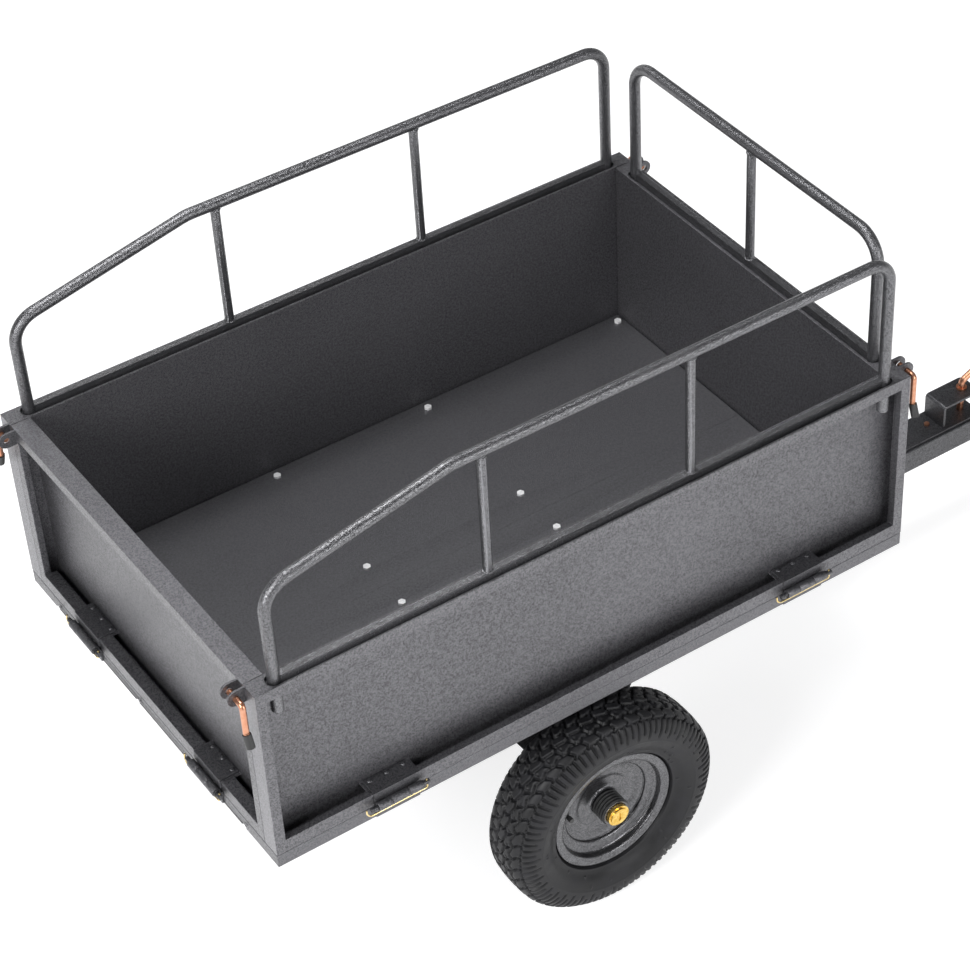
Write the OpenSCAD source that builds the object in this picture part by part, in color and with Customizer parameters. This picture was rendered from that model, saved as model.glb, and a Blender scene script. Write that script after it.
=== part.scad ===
// Two-wheeled tow-behind utility cart: a folded-sheet bed with four drop sides on
// removable-pin hinges, lift-out guard rails, corner latch pins, and a box-section
// tongue with a drop-pin hitch. The bed tips rearwards about its axle.
// Millimetres. X forward to the hitch, Y to the left, Z up, ground at Z = 0,
// origin midway between the cart's front and rear ends, on its centre line.

/* [Bed] */
// Outside length of the bed, front to rear
bed_l = 1220; // [1000:10:1500]
// Outside width of the bed
bed_w = 800; // [640:10:960]
// Height of the drop sides
side_h = 336; // [270:1:420]
// Depth of the folded edge around a drop side
panel_d = 35; // [32:1:45]
// Thickness of the panel and floor sheet
sheet = 2; // [1.5:0.1:3]
// Height of the top lip of a drop side
top_lip = 21; // [15:1:30]
// Height of the bottom lip of a drop side
bottom_lip = 25; // [20:1:30]
// Width of the upright lips at a drop side's ends
stile = 18; // [12:1:30]
// Width of the inward hem on the lips
hem = 10; // [6:1:14]

/* [Base frame] */
// Height of the base frame
frame_h = 25; // [20:1:40]
// Wall of the base frame and cross members
frame_t = 3; // [2:0.5:5]
// Height of the floor above the base frame
floor_lift = 13; // [8:1:20]
// Width of a cross member
cross_w = 44; // [36:1:60]

/* [Guard rails] */
// Height of the rail tube's centre above the sides
rail_h = 241; // [160:1:320]
// Outside diameter of the hoop tube
rail_od = 20; // [16:0.5:25]
// Wall of the hoop tube
rail_wall = 2; // [1:0.5:3]
// Outside diameter of the upright struts
strut_od = 16; // [12:0.5:20]
// Distance of a rail's legs from the end of its side
leg_inset = 42; // [36:1:60]
// Distance of the front rail's legs from the bed's edge
front_leg_inset = 74; // [70:1:120]
// Length of the legs below the top of the sides
leg_reach = 59; // [30:1:80]
// Slope of the side rails towards the rear, degrees
rail_slope = 12.5; // [5:0.5:18]
// Distance of the bend in the side rails behind the bed's centre
bend_back = 248; // [150:1:300]

/* [Hinges] */
// Distance of a side hinge from the bed's centre
side_hinge_x = 397; // [300:1:480]
// Distance of an end hinge from the centre line
end_hinge_y = 196; // [120:1:240]
// Length of a hinge barrel
hinge_l = 80; // [60:1:100]
// Radius of a hinge barrel
barrel_r = 7.5; // [6:0.5:9]
// Radius of a hinge pin
hinge_pin_r = 4; // [3:0.5:4.5]

/* [Corner latches] */
// Radius of a latch tab's round end
tab_r = 14; // [11:1:18]
// Radius of a latch pin
latch_r = 5; // [4:0.5:6]
// Length of a latch pin's handle
latch_handle = 78; // [50:1:110]

/* [Wheels and axle] */
// Radius of the tyre
tyre_r = 203; // [180:1:230]
// Width of the tyre
tyre_w = 112; // [95:1:125]
// Radius of the rim's lip
rim_r = 115.5; // [105:0.5:125]
// Width of the rim
rim_w = 72; // [60:1:80]
// Distance from one wheel's middle to the other's
track = 778; // [770:1:960]
// Radius of the axle
axle_r = 12.5; // [10:0.5:15]
// Distance of the axle below the base frame
axle_drop = 240; // [230:1:280]
// Distance of the axle behind the bed's centre
axle_back = 10; // [0:1:60]
// Half the distance between a bracket's bolts
bracket_bolt_x = 155; // [120:1:180]

/* [Tongue and hitch] */
// Width of the tongue
tongue_w = 76; // [60:1:90]
// Height of the tongue
tongue_h = 50; // [40:1:60]
// Wall of the tongue
tongue_t = 3; // [2:0.5:5]
// Distance of the hitch pin ahead of the bed
hitch_ahead = 497; // [400:1:650]
// Clear height of the hitch jaw
jaw_h = 44; // [30:1:60]
// Thickness of the hitch bracket
jaw_t = 5; // [4:0.5:8]
// Radius of the hitch pin
hitch_r = 6.35; // [5:0.05:10]

/* [Hidden] */
$fn = 64;

// clearances
part_gap = 0.5;      // between a drop side and what it stands on
side_gap = 1;        // between neighbouring drop sides
seat_gap = 0.3;      // under a loose piece at rest
run_gap = 0.05;      // radial, around a turning pin
pin_gap = 0.3;       // radial, around a hand-fitted pin
eps = 0.01;          // overshoot of a cut

// bed
end_panel_w = bed_w - 2 * (panel_d + side_gap);
panel_z = frame_h + part_gap;
top_z = panel_z + side_h;
floor_z = frame_h + floor_lift;
floor_gap = 2;                               // between the floor and the drop sides
floor_x = bed_l / 2 - panel_d - floor_gap;
floor_y = bed_w / 2 - panel_d - floor_gap;
side_ledge = panel_d + 10;                   // frame's top flange under the sides
end_ledge = panel_d + 25;                    // frame's top flange under the ends
cross_y = bed_w / 2 - side_ledge;
bolt_inset = 10;                             // outer bracket bolt from the ledge
outer_bolt_y = cross_y - bolt_inset;
inner_bolt_y = tongue_w / 2 + 16;
bolt_r = 4;
head_r = 7;
head_h = 4;

// axle and tongue
axle_x = -axle_back;
axle_z = -axle_drop;
tongue_top = axle_z + tongue_h / 2;
tongue_rear = axle_x - 60;
hitch_x = bed_l / 2 + hitch_ahead;
jaw_front = hitch_x + 24;
jaw_rear = hitch_x - 60;
jaw_w = 54;
foot_w = tongue_w - 10;                      // the bracket's foot plate
jaw_base = 165;                              // foot plate behind the riser
jaw_top = tongue_top + jaw_h + 2 * jaw_t;
tongue_front = jaw_front + 4;
handle_reach = 62;                           // hitch handle ahead of the pin
handle_bend = 14;                            // radius of the handle's bend
handle_rise = 25;                            // degrees above level

// axle brackets
plate_t = 5;
inner_plate_y = tongue_w / 2 + 3;            // inner face of the inner brackets
hub_half = 45;                               // inner half length of a wheel hub
outer_plate_y = track / 2 - tyre_w / 2 - 18; // inner face of the outer brackets
bush_r = axle_r + 4;
eye_r = bush_r + 20;

// latches and rails
tab_t = 4;
tab_reach = 16;                              // latch pin from the panel's face
tab_z = top_z - tab_r;
gate_tab_y = bed_w / 2 - panel_d - 15;       // middle of a tailgate or front tab
side_tab_y = bed_w / 2 - panel_d + 5;        // middle of a side panel's tab
pin_tip_y = gate_tab_y + tab_t / 2 + seat_gap;
pin_bend_y = side_tab_y + 20;                // handle's centre line
grip_r = 7;
grip_l = 24;
rail_in = panel_d / 2;                       // rail's plane from the outer face
trough = 8;                                  // depth of the rail's seat
slot_w = rail_od + 7;
bar_w = 12;
bar_rise = 8;                                // lower bar above the flange
leg_x = bed_l / 2 - leg_inset;
front_leg_y = bed_w / 2 - front_leg_inset;
front_bend_r = 42;
rear_bend_r = 50;
strut_front_x = 180;
strut_rear_x = -197;

// hinges
hinge_out = 10;                              // barrel's axis from the panel's face
hinge_z = frame_h + 6;
leaf_t = 3;
knuckle_l = hinge_l * 0.3;
rivet_in = 26;
wire_r = 1.5;
wire_off = barrel_r + 2.5;                   // clip wire from the pin's axis
wire_side = 262;                             // its place round the barrel, degrees

// tilt lock
lock_x = bed_l / 2 - 110;
lock_r = 6;
lock_z = -16;
lock_drop = 30;                              // tab below the base frame
lock_tab_t = 8;
ear_y = lock_tab_t / 2 + 2;                  // inner face of the post's ears
ear_t = 4;
lock_tip_y = lock_tab_t / 2 + seat_gap;
lock_bend_y = ear_y + ear_t + 37;

// whole cart
ride_h = axle_drop + tyre_r;                 // base frame above the ground
rear_end = -(bed_l / 2 + tab_reach + tab_r);
front_end = hitch_x + handle_reach + hitch_r * sin(handle_rise);
mid_x = (front_end + rear_end) / 2;

paint = [0.24, 0.24, 0.26];
zinc = [0.78, 0.79, 0.8];
copper = [0.78, 0.5, 0.38];
yellow = [0.82, 0.7, 0.36];
black = [0.09, 0.09, 0.1];

// ---------- placing ----------

// from the bed's own frame (centre of the base frame's bottom) to the cart's
module cart()
    translate([-mid_x, 0, ride_h])
        children();

// Local frame of a drop side: X along it, Y from its outer face inwards, Z up
// from the bottom of the base frame.
module at_right()
    cart() translate([0, -bed_w / 2, 0]) children();
module at_left()
    cart() mirror([0, 1, 0]) translate([0, -bed_w / 2, 0]) children();
module at_rear()
    cart() translate([-bed_l / 2, 0, 0]) rotate([0, 0, -90]) children();
module at_front()
    cart() translate([bed_l / 2, 0, 0]) rotate([0, 0, 90]) children();

module both_ends(distance)
    for (s = [-1, 1]) translate([s * distance, 0, 0]) children();

// ---------- shared shapes ----------

// rod of radius r between two points of the local XZ plane
module rod_xz(a, b, r) {
    run = [b[0] - a[0], b[1] - a[1]];
    translate([a[0], 0, a[1]])
        rotate([0, atan2(run[0], run[1]), 0])
            cylinder(r = r, h = norm(run));
}

// arc of a round bar in the XZ plane: centre c, bend radius, from angle a0 on
module bend_xz(c, bend, a0, sweep, r) {
    translate([c[0], 0, c[1]])
        rotate([90, 0, 0])
            rotate([0, 0, a0])
                rotate_extrude(angle = sweep)
                    translate([bend, 0]) circle(r = r);
}

module stadium(length, width) {
    square([length - width, width], center = true);
    for (s = [-1, 1]) translate([s * (length - width) / 2, 0]) circle(d = width);
}

// bolt along +Z with its head on top and a nut below, gripping from 0 down to -grip
module bolt(grip, r = bolt_r, head = head_r) {
    translate([0, 0, -grip - 9]) cylinder(r = r, h = grip + 9 + eps);
    cylinder(r = head, h = head_h, $fn = 6);
    translate([0, 0, -grip - 7]) cylinder(r = head, h = 7, $fn = 6);
}

// ---------- drop sides ----------

// folded pan, open outwards; hinges is the distance of its hinge seats
module pan(length, hinges, bottom_hem) {
    translate([-length / 2, 0, panel_z]) difference() {
        cube([length, panel_d, side_h]);
        translate([sheet, sheet, sheet])
            cube([length - 2 * sheet, panel_d - 2 * sheet, side_h - 2 * sheet]);
        translate([stile, -eps, bottom_lip])
            cube([length - 2 * stile, sheet + 2 * eps, side_h - top_lip - bottom_lip]);
    }
    translate([0, 0, panel_z]) {
        for (z = [bottom_lip - sheet, side_h - top_lip])
            translate([-length / 2 + stile, sheet - eps, z])
                cube([length - 2 * stile, z < side_h / 2 ? bottom_hem : hem, sheet]);
        both_ends(hinges)
            translate([-hinge_l / 2 - 5, sheet - eps, bottom_lip - sheet])
                cube([hinge_l + 10, panel_d - 2 * sheet + 2 * eps, sheet]);
        both_ends(length / 2 - stile + sheet / 2)
            translate([-sheet / 2, sheet - eps, bottom_lip - sheet])
                cube([sheet, hem, side_h - top_lip - bottom_lip + 2 * sheet]);
    }
}

// slot cut for a rail whose legs stand at +-legs
module rail_slot(legs) {
    translate([0, rail_in, top_z - sheet - eps])
        linear_extrude(sheet + 2 * eps) stadium(2 * legs + slot_w, slot_w);
}

// strip under the slot that the rail stands on, with a hole for each leg
module rail_seat(legs) {
    difference() {
        translate([-legs - slot_w, sheet - eps, top_z - trough - sheet])
            cube([2 * (legs + slot_w), panel_d - 2 * sheet + 2 * eps, sheet]);
        both_ends(legs)
            translate([0, rail_in, top_z - trough - sheet - eps])
                cylinder(d = rail_od + 2 * part_gap, h = sheet + 2 * eps);
    }
}

module rivet_holes(hinges)
    both_ends(hinges)
        for (x = [-1, 0, 1])
            translate([x * hinge_l * 0.38, rivet_in, panel_z + bottom_lip - sheet - eps])
                cylinder(r = 2.6, h = sheet + leaf_t + 2 * eps);

module railed_panel(length, hinges, legs) {
    difference() {
        pan(length, hinges, hem);
        rail_slot(legs);
        rivet_holes(hinges);
        both_ends(legs) translate([0, rail_in, top_z - top_lip - sheet])
            cylinder(d = rail_od + 2 * part_gap, h = top_lip - trough);
    }
    rail_seat(legs);
}

module side_panel() railed_panel(bed_l, side_hinge_x, leg_x);
module left_panel() color(paint) at_left() side_panel();
module right_panel() color(paint) at_right() side_panel();
module front_panel()
    color(paint) at_front() railed_panel(end_panel_w, end_hinge_y, front_leg_y);

module tailgate() color(paint) at_rear() difference() {
    pan(end_panel_w, end_hinge_y, 2 * hem);
    rivet_holes(end_hinge_y);
}

// ---------- hinges ----------

// moving leaf: over the bottom lip, down its face, to the middle knuckle
module moving_leaf() {
    mid = hinge_l - 2 * knuckle_l - 1;
    lip_z = panel_z + bottom_lip;
    difference() {
        union() {
            translate([-hinge_l / 2, -leaf_t, lip_z])
                cube([hinge_l, leaf_t + panel_d - sheet - 1, leaf_t]);
            translate([-hinge_l / 2, -leaf_t, hinge_z + 5])
                cube([hinge_l, leaf_t, lip_z - hinge_z - 5 + eps]);
            translate([-mid / 2, -leaf_t, hinge_z])
                cube([mid, leaf_t, 5 + eps]);
            translate([-mid / 2, -hinge_out, hinge_z]) rotate([0, 90, 0])
                cylinder(r = barrel_r, h = mid);
        }
        translate([-mid / 2 - eps, -hinge_out, hinge_z]) rotate([0, 90, 0])
            cylinder(r = hinge_pin_r + run_gap, h = mid + 2 * eps);
        for (x = [-1, 0, 1])
            translate([x * hinge_l * 0.38, rivet_in, lip_z - eps])
                cylinder(r = 2.6, h = leaf_t + 2 * eps);
    }
}

// fixed leaf: on the base frame's face, with the two outer knuckles
module fixed_leaf() {
    difference() {
        union() {
            translate([-hinge_l / 2, -leaf_t, 2])
                cube([hinge_l, leaf_t, frame_h - 4]);
            for (x = [-hinge_l / 2, hinge_l / 2 - knuckle_l]) translate([x, 0, 0]) {
                translate([0, -6, frame_h - 5]) cube([knuckle_l, 6, 7]);
                translate([0, -hinge_out, hinge_z]) rotate([0, 90, 0])
                    cylinder(r = barrel_r, h = knuckle_l);
            }
        }
        translate([-hinge_l / 2 - eps, -hinge_out, hinge_z]) rotate([0, 90, 0])
            cylinder(r = hinge_pin_r + run_gap, h = hinge_l + 2 * eps);
    }
}

pin_tail = 12;       // hinge pin past the barrel, tip end
pin_head = 14;       // and at the end that the clip is threaded through

module hinge_pin() {
    head_x = hinge_l / 2 + pin_head;
    translate([0, -hinge_out, hinge_z]) difference() {
        union() {
            translate([-hinge_l / 2 - pin_tail, 0, 0]) rotate([0, 90, 0])
                cylinder(r = hinge_pin_r, h = hinge_l + pin_tail + pin_head);
            translate([hinge_l / 2 + seat_gap, 0, 0]) rotate([0, 90, 0])
                cylinder(r = hinge_pin_r + 2, h = 3);
        }
        translate([head_x - 5, 0, 0]) rotate([90 + wire_side, 0, 0])
            translate([0, 0, -hinge_pin_r - 1])
                cylinder(r = wire_r + run_gap, h = 2 * hinge_pin_r + 2);
    }
}

// wire clip: threaded through the pin, along the barrel and round the pin's tip
module hinge_clip() {
    head_x = hinge_l / 2 + pin_head - 5;
    tip_x = -hinge_l / 2 - pin_tail + 2;
    turn = 4;
    translate([0, -hinge_out, hinge_z]) rotate([wire_side, 0, 0])
        rotate([-90, 0, 0]) {
            rod_xz([head_x, -hinge_pin_r - 2], [head_x, wire_off - turn], wire_r);
            bend_xz([head_x - turn, wire_off - turn], turn, 0, 90, wire_r);
            rod_xz([head_x - turn, wire_off], [tip_x, wire_off], wire_r);
            bend_xz([tip_x, 0], wire_off, 90, 110, wire_r);
        }
}

module rivet() {
    z = panel_z + bottom_lip + leaf_t;
    translate([0, rivet_in, z]) {
        translate([0, 0, -leaf_t - sheet - eps]) cylinder(r = 2.5, h = leaf_t + sheet + 2 * eps);
        intersection() {
            translate([0, 0, -3]) sphere(r = 5.5);
            cylinder(r = 5, h = 3);
        }
        translate([0, 0, -leaf_t - sheet - 2]) cylinder(r = 4, h = 2);
    }
}

module rivets(hinges)
    color(zinc) both_ends(hinges)
        for (x = [-1, 0, 1]) translate([x * hinge_l * 0.38, 0, 0]) rivet();

module leaves(hinges) color(paint) both_ends(hinges) moving_leaf();

module left_hinge_leaves() at_left() leaves(side_hinge_x);
module right_hinge_leaves() at_right() leaves(side_hinge_x);
module tailgate_hinge_leaves() at_rear() leaves(end_hinge_y);
module front_hinge_leaves() at_front() leaves(end_hinge_y);
module left_rivets() at_left() rivets(side_hinge_x);
module right_rivets() at_right() rivets(side_hinge_x);
module tailgate_rivets() at_rear() rivets(end_hinge_y);
module front_rivets() at_front() rivets(end_hinge_y);

// every hinge of the cart: children(0) at each of the eight places
module at_hinges() {
    at_left() both_ends(side_hinge_x) children(0);
    at_right() both_ends(side_hinge_x) children(0);
    at_rear() both_ends(end_hinge_y) children(0);
    at_front() both_ends(end_hinge_y) children(0);
}

module bed_hinge_leaves() color(paint) at_hinges() fixed_leaf();
module hinge_pins() color(zinc) at_hinges() hinge_pin();
module hinge_pin_clips() color(yellow) at_hinges() hinge_clip();

// ---------- corner latches ----------

// tab standing out of an end face at height tab_z; out is +1 forward, -1 rearward
module latch_tab(y, out) {
    face = out * bed_l / 2;
    reach = face + out * tab_reach;
    translate([0, y + tab_t / 2, 0]) rotate([90, 0, 0]) linear_extrude(tab_t)
        difference() {
            union() {
                translate([reach, tab_z]) circle(r = tab_r);
                translate([min(face, reach), tab_z - tab_r])
                    square([tab_reach, 2 * tab_r]);
            }
            translate([reach, tab_z]) circle(r = latch_r + pin_gap);
        }
}

module side_tabs()
    color(paint) for (out = [-1, 1]) latch_tab(-side_tab_y, out);
module left_latch_tabs() cart() mirror([0, 1, 0]) side_tabs();
module right_latch_tabs() cart() side_tabs();
module end_tabs(out)
    color(paint) for (s = [-1, 1]) latch_tab(s * gate_tab_y, out);
module tailgate_latch_tabs() cart() end_tabs(-1);
module front_latch_tabs() cart() end_tabs(1);

// pin of the right-hand corner, drawn back just clear of the gate's tab
module latch_pin() {
    turn = 7;
    kink = 8;        // handle's end leans outwards
    low = tab_z - latch_handle;
    rotate([0, 0, -90]) {
        rod_xz([pin_tip_y, tab_z], [pin_bend_y - turn, tab_z], latch_r);
        bend_xz([pin_bend_y - turn, tab_z - turn], turn, 0, 90, latch_r);
        rod_xz([pin_bend_y, tab_z - turn], [pin_bend_y, low + grip_l], latch_r);
        translate([pin_bend_y, 0, low + grip_l]) sphere(r = latch_r);
        rod_xz([pin_bend_y, low + grip_l], [pin_bend_y + kink, low + 3], latch_r);
    }
}

module latch_grip() {
    kink = 8;
    low = tab_z - latch_handle;
    slope = [kink, 3 - grip_l];
    far = [pin_bend_y, low + grip_l] + slope * 1.14;
    near = [pin_bend_y, low + grip_l] + slope * 0.12;
    rotate([0, 0, -90]) difference() {
        rod_xz(near, far, grip_r);
        rod_xz([pin_bend_y, low + grip_l], [pin_bend_y + kink, low + 3], latch_r + eps);
    }
}

module at_corner(out, side)
    cart() mirror([0, side > 0 ? 1 : 0, 0])
        translate([out * (bed_l / 2 + tab_reach), 0, 0]) children();

module latch_pin_rear_left() color(copper) at_corner(-1, 1) latch_pin();
module latch_pin_rear_right() color(copper) at_corner(-1, -1) latch_pin();
module latch_pin_front_left() color(copper) at_corner(1, 1) latch_pin();
module latch_pin_front_right() color(copper) at_corner(1, -1) latch_pin();
module latch_grip_rear_left() color(black) at_corner(-1, 1) latch_grip();
module latch_grip_rear_right() color(black) at_corner(-1, -1) latch_grip();
module latch_grip_front_left() color(black) at_corner(1, 1) latch_grip();
module latch_grip_front_right() color(black) at_corner(1, -1) latch_grip();

// ---------- guard rails ----------

rail_z = top_z + rail_h;
front_rail_z = rail_z - 8;
foot_z = top_z - leg_reach;
bend_drop = tan(rail_slope);
easy_bend_r = 80;    // radius of the easy bend at the top of the slope
lap = 1;             // run of a straight length into a bend
bend_swell = 0.1;    // extra wall thickness of a bend, each side

// Straight and bent lengths of the hoop tube. A straight length runs a little
// way into the bends at its ends, which are drawn a hair thicker in the wall.
module tube_xz(a, b) {
    along = (b - a) / norm(b - a);
    difference() {
        rod_xz(a - lap * along, b + lap * along, rail_od / 2);
        rod_xz(a - 2 * lap * along, b + 2 * lap * along, rail_od / 2 - rail_wall);
    }
}
module tube_bend_xz(c, bend, a0, sweep)
    translate([c[0], 0, c[1]]) rotate([90, 0, 0]) rotate([0, 0, a0])
        rotate_extrude(angle = sweep) translate([bend, 0]) difference() {
            circle(r = rail_od / 2 + bend_swell);
            circle(r = rail_od / 2 - rail_wall - bend_swell);
        }

// side hoop: upright, corner, level run, easy bend, slope, corner, upright
module side_hoop() {
    turn = 90 - rail_slope;
    // centre of the rear corner: on the leg's inner side, touching the slope
    rear_c = [
        -leg_x + rear_bend_r,
        rail_z - bend_drop * (leg_x - bend_back - rear_bend_r)
            - rear_bend_r / cos(rail_slope)
    ];
    slope_end = rear_c + rear_bend_r * [-sin(rail_slope), cos(rail_slope)];
    easy_c = [-bend_back + easy_bend_r * tan(rail_slope / 2), rail_z - easy_bend_r];
    slope_start = easy_c + easy_bend_r * [-sin(rail_slope), cos(rail_slope)];
    tube_xz([leg_x, foot_z + lap], [leg_x, rail_z - front_bend_r]);
    tube_bend_xz([leg_x - front_bend_r, rail_z - front_bend_r], front_bend_r, 0, 90);
    tube_xz([leg_x - front_bend_r, rail_z], [easy_c[0], rail_z]);
    tube_bend_xz(easy_c, easy_bend_r, 90, rail_slope);
    tube_xz(slope_start, slope_end);
    tube_bend_xz(rear_c, rear_bend_r, 90 + rail_slope, turn);
    tube_xz([-leg_x, rear_c[1]], [-leg_x, foot_z + lap]);
}

module front_hoop() {
    run = front_leg_y - rear_bend_r;
    both_ends(front_leg_y) tube_xz([0, foot_z + lap], [0, front_rail_z - rear_bend_r]);
    tube_bend_xz([run, front_rail_z - rear_bend_r], rear_bend_r, 0, 90);
    tube_bend_xz([-run, front_rail_z - rear_bend_r], rear_bend_r, 90, 90);
    tube_xz([-run, front_rail_z], [run, front_rail_z]);
}

// height of the side hoop's tube above a point x
function hoop_top(x) =
    x < -bend_back ? rail_z - bend_drop * (-bend_back - x) : rail_z;

// lower bar and struts, cut to fit the hoop; each strut is [x, height of the tube]
module ladder(legs, struts) {
    bar_z = top_z - trough + seat_gap;
    bar_h = trough + bar_rise - seat_gap;
    fit = rail_od / 2;
    translate([0, rail_in, 0]) difference() {
        union() {
            translate([-legs, -bar_w / 2, bar_z]) cube([2 * legs, bar_w, bar_h]);
            for (s = struts) translate([s[0], 0, bar_z + bar_h - eps])
                cylinder(d = strut_od, h = s[1] - bar_z - bar_h);
        }
        both_ends(legs) translate([0, 0, bar_z - 1]) cylinder(r = fit, h = bar_h + 2);
        for (s = struts) rod_xz([s[0] - 2 * rail_od, s[1]], [s[0] + 2 * rail_od, s[1]], fit);
    }
}

module side_rail_hoop() translate([0, rail_in, 0]) side_hoop();
module side_rail_struts()
    ladder(leg_x, [[strut_front_x, rail_z], [strut_rear_x, hoop_top(strut_rear_x)]]);

module left_rail_hoop() color(paint) at_left() side_rail_hoop();
module right_rail_hoop() color(paint) at_right() side_rail_hoop();
module left_rail_struts() color(paint) at_left() side_rail_struts();
module right_rail_struts() color(paint) at_right() side_rail_struts();
module front_rail_hoop() color(paint) at_front() translate([0, rail_in, 0]) front_hoop();
module front_rail_struts()
    color(paint) at_front() ladder(front_leg_y, [[0, front_rail_z]]);

// ---------- base frame and floor ----------

module base_frame() color(paint) cart() difference() {
    translate([-bed_l / 2, -bed_w / 2, 0]) cube([bed_l, bed_w, frame_h]);
    translate([-bed_l / 2 + frame_t, -bed_w / 2 + frame_t, -eps])
        cube([bed_l - 2 * frame_t, bed_w - 2 * frame_t, frame_h - frame_t + eps]);
    translate([-bed_l / 2 + end_ledge, -cross_y, -eps])
        cube([bed_l - 2 * end_ledge, 2 * cross_y, frame_h + 2 * eps]);
    both_ends(bed_l / 2 - end_ledge + bolt_inset) for (s = [-1, 1])
        translate([0, s * outer_bolt_y, 0]) cylinder(r = bolt_r + 0.1, h = frame_h + 1);
    for (y = rear_bolt_y) translate([-bed_l / 2 - 1, y, rear_bolt_z])
        rotate([0, 90, 0]) cylinder(r = rear_bolt_r + 0.1, h = frame_t + 2);
}

cross_x = [axle_x - bracket_bolt_x, axle_x + bracket_bolt_x, lock_x];
cross_top = floor_z - sheet;

// downward channels welded between the frame's side flanges
module cross_members() color(paint) cart() for (x = cross_x) difference() {
    translate([x - cross_w / 2, -cross_y, 0]) cube([cross_w, 2 * cross_y, cross_top]);
    translate([x - cross_w / 2 + frame_t, -cross_y - 1, -eps])
        cube([cross_w - 2 * frame_t, 2 * cross_y + 2, cross_top - frame_t]);
    if (x < lock_x)
        for (y = bracket_bolt_ys) translate([x, y, 0])
            cylinder(r = bolt_r + 0.1, h = cross_top + 1);
}

bracket_bolt_ys = [-outer_bolt_y, -inner_bolt_y, inner_bolt_y, outer_bolt_y];

// one floor half, with its edges turned down on to the frame
module floor_half() {
    difference() {
        translate([-floor_x, 0.2, frame_h]) cube([2 * floor_x, floor_y - 0.2, floor_lift]);
        translate([-floor_x + sheet, -1, frame_h - eps])
            cube([2 * (floor_x - sheet), floor_y - sheet + 1, floor_lift - sheet + eps]);
        floor_bolt_places() translate([0, 0, floor_z - 10])
            cylinder(r = bolt_r + 0.1, h = 20);
    }
}

// the floor's bolts on one half: the bracket bolts and the two corner bolts
module floor_bolt_places() {
    for (x = [cross_x[0], cross_x[1]]) for (y = [inner_bolt_y, outer_bolt_y])
        translate([x, y, 0]) children();
    both_ends(bed_l / 2 - end_ledge + bolt_inset)
        translate([0, outer_bolt_y, 0]) children();
}

module floor_left() color(paint) cart() floor_half();
module floor_right() color(paint) cart() mirror([0, 1, 0]) floor_half();

module floor_bolts() color(zinc) cart() for (m = [0, 1]) mirror([0, m, 0]) {
    for (x = [cross_x[0], cross_x[1]]) for (y = [inner_bolt_y, outer_bolt_y])
        translate([x, y, floor_z]) bolt(floor_z + plate_t);
    both_ends(bed_l / 2 - end_ledge + bolt_inset)
        translate([0, outer_bolt_y, floor_z]) bolt(floor_lift + frame_t);
}

rear_bolt_y = [-304, 32, 304] * bed_w / 800;
rear_bolt_z = 10;
rear_bolt_r = 3;

module frame_bolts() color(zinc) cart() for (y = rear_bolt_y)
    translate([-bed_l / 2, y, rear_bolt_z]) rotate([0, -90, 0]) {
        translate([0, 0, -frame_t - 6]) cylinder(r = rear_bolt_r, h = frame_t + 6 + eps);
        cylinder(r = 5.5, h = 3, $fn = 6);
        translate([0, 0, -frame_t - 4]) cylinder(r = 5.5, h = 4, $fn = 6);
    }

// ---------- axle brackets ----------

// plate with an eye for the axle and a top flange; flange goes towards +Y
module axle_bracket(flange_w, bolt_y) {
    top = bracket_bolt_x + 8;
    difference() {
        union() {
            rotate([90, 0, 0]) translate([0, 0, -plate_t]) linear_extrude(plate_t) {
                polygon([
                    [axle_x - top, 0], [axle_x + top, 0], [axle_x + top, -12],
                    [axle_x + eye_r - 2, axle_z], [axle_x - eye_r + 2, axle_z],
                    [axle_x - top, -12]
                ]);
                translate([axle_x, axle_z]) circle(r = eye_r);
            }
            translate([axle_x - top, 0, -plate_t]) cube([2 * top, flange_w, plate_t]);
        }
        translate([axle_x, -1, axle_z]) rotate([-90, 0, 0])
            cylinder(r = bush_r + 0.02, h = plate_t + 2);
        for (x = [-1, 1]) translate([axle_x + x * bracket_bolt_x, bolt_y, -plate_t - 1])
            cylinder(r = bolt_r + 0.1, h = plate_t + 2);
    }
}

module outer_axle_brackets() color(paint) cart() for (m = [0, 1]) mirror([0, m, 0])
    translate([0, outer_plate_y, 0])
        axle_bracket(outer_bolt_y - outer_plate_y + 14, outer_bolt_y - outer_plate_y);

module inner_axle_brackets() color(paint) cart() for (m = [0, 1]) mirror([0, m, 0])
    translate([0, inner_plate_y, 0])
        axle_bracket(inner_bolt_y - inner_plate_y + 24, inner_bolt_y - inner_plate_y);

// flanged bushes in the bracket eyes
module axle_bushes() color(black) cart() for (m = [0, 1]) mirror([0, m, 0])
    for (y = [inner_plate_y, outer_plate_y]) translate([axle_x, y, axle_z])
        rotate([-90, 0, 0]) difference() {
            union() {
                cylinder(r = bush_r, h = plate_t);
                translate([0, 0, plate_t]) cylinder(r = bush_r + 4, h = 3);
            }
            translate([0, 0, -1]) cylinder(r = axle_r + run_gap, h = plate_t + 5);
        }

// ---------- axle, wheels ----------

hub_out = hub_half - 2;                      // outer half length of a wheel hub
cap_y = track / 2 + hub_out + seat_gap;
cap_l = 10;
cap_r = 20;
axle_end = cap_y + 7;

module axle() color(zinc) cart() translate([axle_x, 0, axle_z]) rotate([90, 0, 0])
    difference() {
        cylinder(r = axle_r, h = 2 * axle_end, center = true);
        rotate([90, 0, 0]) cylinder(r = bolt_r + 0.1, h = 2 * axle_r + 2, center = true);
    }

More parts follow.
